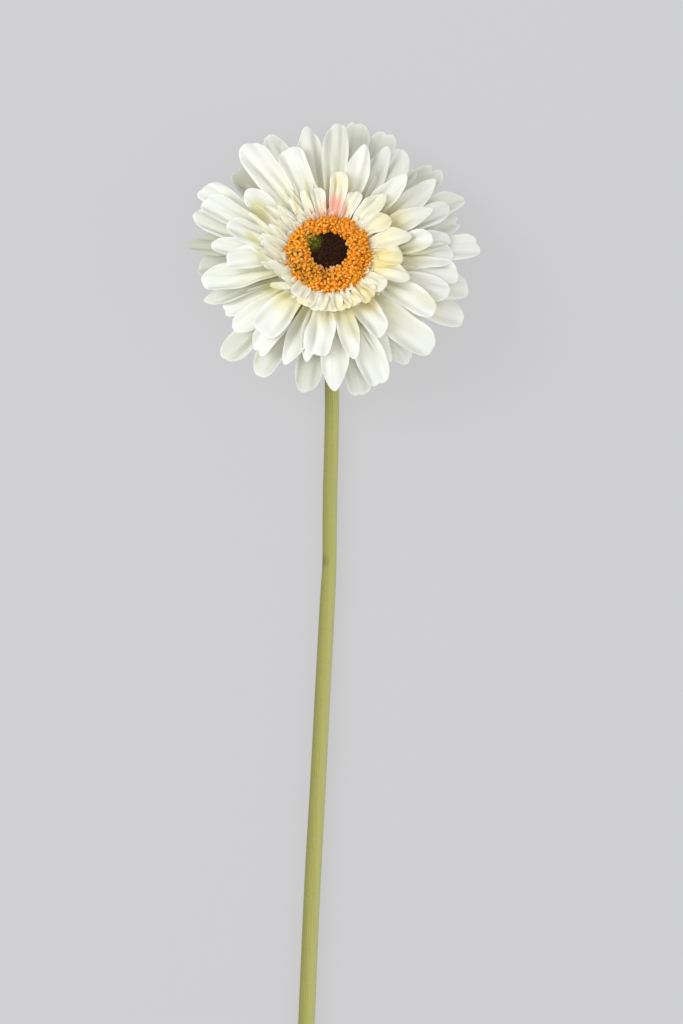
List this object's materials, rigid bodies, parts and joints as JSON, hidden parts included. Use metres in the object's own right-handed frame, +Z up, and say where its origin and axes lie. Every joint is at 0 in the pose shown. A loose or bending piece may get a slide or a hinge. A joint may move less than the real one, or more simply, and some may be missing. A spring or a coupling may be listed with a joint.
{
  "type": "cut gerbera",
  "caption": "White semi-double gerbera with an orange and dark disc, cut with its stem and lying on its back with the bloom facing up.",
  "frame": {"origin": "middle of the base of the flower's bounding box, on the surface that it lies on", "axes": "+Z up from the surface, +Y from the cut end of the stem to the bloom; the bloom faces +Z, leaning 24 degrees towards +Y"},
  "size_m": [0.1115, 0.4993, 0.0485],
  "materials": {
    "stem": "satin",
    "involucre": "satin",
    "petals": "matte",
    "open_florets": "matte",
    "closed_florets": "matte"
  },
  "bodies": {
    "root": {"stem": "stem", "involucre": "involucre", "petals": "petals", "floret_ring": "open_florets", "floret_heart": "closed_florets"}
  },
  "joints": []
}
